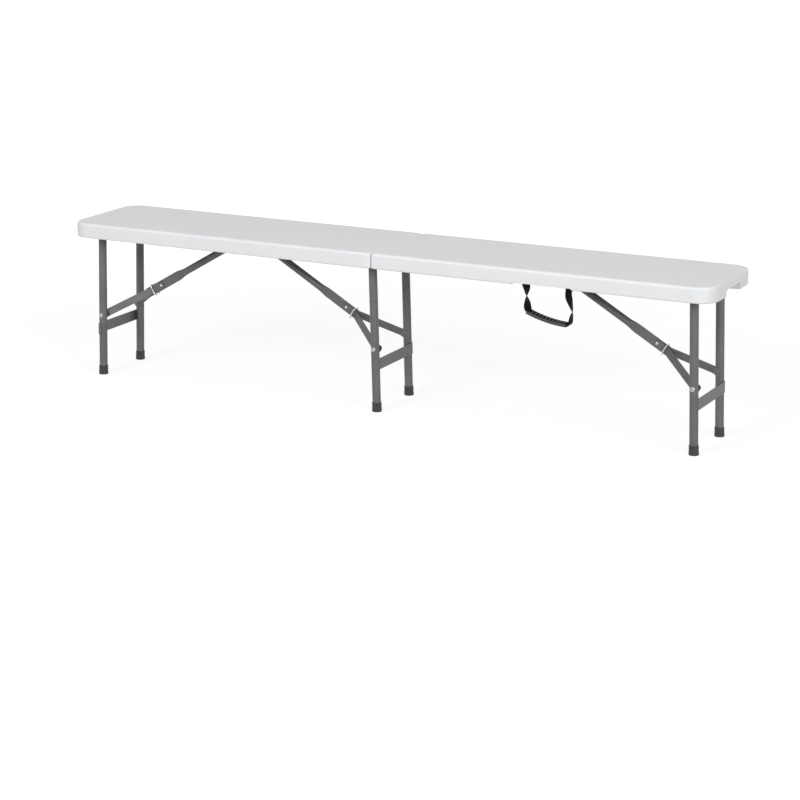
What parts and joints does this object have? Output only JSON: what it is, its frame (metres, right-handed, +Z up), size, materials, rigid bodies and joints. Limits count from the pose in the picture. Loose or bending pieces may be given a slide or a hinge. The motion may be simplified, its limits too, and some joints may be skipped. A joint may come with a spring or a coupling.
{
  "type": "folding bench",
  "caption": "Long moulded plastic bench that folds in half, with folding steel leg frames, braces with sliding lock rings and a webbing carry handle under the front edge.",
  "frame": {"origin": "on the floor under the middle of the open bench", "axes": "+X along the bench towards the half with the carry handle, +Y to the back, +Z up"},
  "size_m": [1.83, 0.3, 0.43],
  "materials": {
    "moulded_seat_plastic": "fine moulded grain, blow-moulded polyethylene",
    "coated_steel": "dark grey powder coat on steel tube and sheet",
    "foot_cap_plastic": "satin moulded caps",
    "chromed_wire": "bright chromed wire",
    "bright_steel": "plain zinc-plated rivets, pins and screws",
    "clip_plastic": "satin moulded clip",
    "handle_webbing": "woven webbing",
    "grip_plastic": "satin ribbed sleeve"
  },
  "bodies": {
    "left_half": {"left_seat": "moulded_seat_plastic", "left_front_rail": "coated_steel", "left_back_rail": "coated_steel", "left_rail_screws": "bright_steel", "left_brace_anchor": "coated_steel", "front_hinge_pin": "bright_steel", "back_hinge_pin": "bright_steel", "left_mid_tube": "coated_steel", "left_arm_pin": "bright_steel", "centre_arm_pin": "bright_steel", "transport_clip": "clip_plastic"},
    "right_half": {"right_seat": "moulded_seat_plastic", "right_front_rail": "coated_steel", "right_back_rail": "coated_steel", "right_rail_screws": "bright_steel", "right_brace_anchor": "coated_steel", "right_mid_tube": "coated_steel", "right_inner_tube": "coated_steel", "right_arm_pin": "bright_steel", "handle_bails": "coated_steel"},
    "handle": {"handle_strap": "handle_webbing", "handle_grip": "grip_plastic"},
    "left_leg": {"left_leg_axle": "coated_steel", "left_front_leg": "coated_steel", "left_back_leg": "coated_steel", "left_stretcher": "coated_steel", "left_feet": "foot_cap_plastic", "left_leg_rivets": "bright_steel"},
    "left_arm": {"left_brace_arm": "coated_steel"},
    "left_fork": {"left_front_brace_strip": "coated_steel", "left_back_brace_strip": "coated_steel", "left_apex_rivet": "bright_steel", "left_strip_rivets": "bright_steel"},
    "left_ring": {"left_lock_ring": "chromed_wire"},
    "centre_leg": {"centre_leg_axle": "coated_steel", "centre_front_leg": "coated_steel", "centre_back_leg": "coated_steel", "centre_stretcher": "coated_steel", "centre_feet": "foot_cap_plastic", "centre_leg_rivets": "bright_steel"},
    "centre_arm": {"centre_brace_arm": "coated_steel"},
    "centre_fork": {"centre_front_brace_strip": "coated_steel", "centre_back_brace_strip": "coated_steel", "centre_apex_rivet": "bright_steel", "centre_strip_rivets": "bright_steel"},
    "centre_ring": {"centre_lock_ring": "chromed_wire"},
    "right_leg": {"right_leg_axle": "coated_steel", "right_front_leg": "coated_steel", "right_back_leg": "coated_steel", "right_stretcher": "coated_steel", "right_feet": "foot_cap_plastic", "right_leg_rivets": "bright_steel"},
    "right_arm": {"right_brace_arm": "coated_steel"},
    "right_fork": {"right_front_brace_strip": "coated_steel", "right_back_brace_strip": "coated_steel", "right_apex_rivet": "bright_steel", "right_strip_rivets": "bright_steel"},
    "right_ring": {"right_lock_ring": "chromed_wire"}
  },
  "joints": [
    {"name": "half_fold", "type": "hinge", "parent": "left_half", "child": "right_half", "pos_m": [0, 0, 0.3885], "axis": [0, 1, 0], "range_deg": [0, 180]},
    {"name": "handle_swing", "type": "hinge", "parent": "right_half", "child": "handle", "pos_m": [0.4725, -0.10605, 0.39], "axis": [-1, 0, 0], "range_deg": [0, 90]},
    {"name": "left_leg_fold", "type": "hinge", "parent": "left_half", "child": "left_leg", "pos_m": [-0.849, 0, 0.403], "axis": [0, -1, 0], "range_deg": [0, 91.7]},
    {"name": "left_arm_swing", "type": "hinge", "parent": "left_half", "child": "left_arm", "pos_m": [-0.45275, 0, 0.403], "axis": [0, 1, 0], "range_deg": [0, 30.33]},
    {"name": "left_fork_swing", "type": "hinge", "parent": "left_arm", "child": "left_fork", "pos_m": [-0.72354, 0, 0.24459], "axis": [0, -1, 0], "range_deg": [0, 180]},
    {"name": "left_ring_slide", "type": "slide", "parent": "left_arm", "child": "left_ring", "axis": [0.8632, 0, 0.5049], "range_m": [0, 0.153]},
    {"name": "centre_leg_fold", "type": "hinge", "parent": "left_half", "child": "centre_leg", "pos_m": [-0.0225, 0, 0.403], "axis": [0, 1, 0], "range_deg": [0, 91.7]},
    {"name": "centre_arm_swing", "type": "hinge", "parent": "left_half", "child": "centre_arm", "pos_m": [-0.41875, 0, 0.403], "axis": [0, -1, 0], "range_deg": [0, 30.33]},
    {"name": "centre_fork_swing", "type": "hinge", "parent": "centre_arm", "child": "centre_fork", "pos_m": [-0.14796, 0, 0.24459], "axis": [0, 1, 0], "range_deg": [0, 180]},
    {"name": "centre_ring_slide", "type": "slide", "parent": "centre_arm", "child": "centre_ring", "axis": [-0.8632, 0, 0.5049], "range_m": [0, 0.153]},
    {"name": "right_leg_fold", "type": "hinge", "parent": "right_half", "child": "right_leg", "pos_m": [0.849, 0, 0.403], "axis": [0, 1, 0], "range_deg": [0, 91.7]},
    {"name": "right_arm_swing", "type": "hinge", "parent": "right_half", "child": "right_arm", "pos_m": [0.45275, 0, 0.403], "axis": [0, -1, 0], "range_deg": [0, 30.33]},
    {"name": "right_fork_swing", "type": "hinge", "parent": "right_arm", "child": "right_fork", "pos_m": [0.72354, 0, 0.24459], "axis": [0, 1, 0], "range_deg": [0, 180]},
    {"name": "right_ring_slide", "type": "slide", "parent": "right_arm", "child": "right_ring", "axis": [-0.8632, 0, 0.5049], "range_m": [0, 0.144]}
  ],
  "couplings": [
    {"joint": "handle_swing", "follows": "half_fold", "ratio": 0.5},
    {"joint": "left_leg_fold", "follows": "half_fold", "ratio": 0.50944},
    {"joint": "left_arm_swing", "follows": "half_fold", "ratio": 0.16848},
    {"joint": "left_fork_swing", "follows": "half_fold", "ratio": 1},
    {"joint": "left_ring_slide", "follows": "half_fold", "m_per_rad": 0.048701},
    {"joint": "centre_leg_fold", "follows": "half_fold", "ratio": 0.50944},
    {"joint": "centre_arm_swing", "follows": "half_fold", "ratio": 0.16848},
    {"joint": "centre_fork_swing", "follows": "half_fold", "ratio": 1},
    {"joint": "centre_ring_slide", "follows": "half_fold", "m_per_rad": 0.048701},
    {"joint": "right_leg_fold", "follows": "half_fold", "ratio": 0.50944},
    {"joint": "right_arm_swing", "follows": "half_fold", "ratio": 0.16848},
    {"joint": "right_fork_swing", "follows": "half_fold", "ratio": 1},
    {"joint": "right_ring_slide", "follows": "half_fold", "m_per_rad": 0.045836}
  ]
}
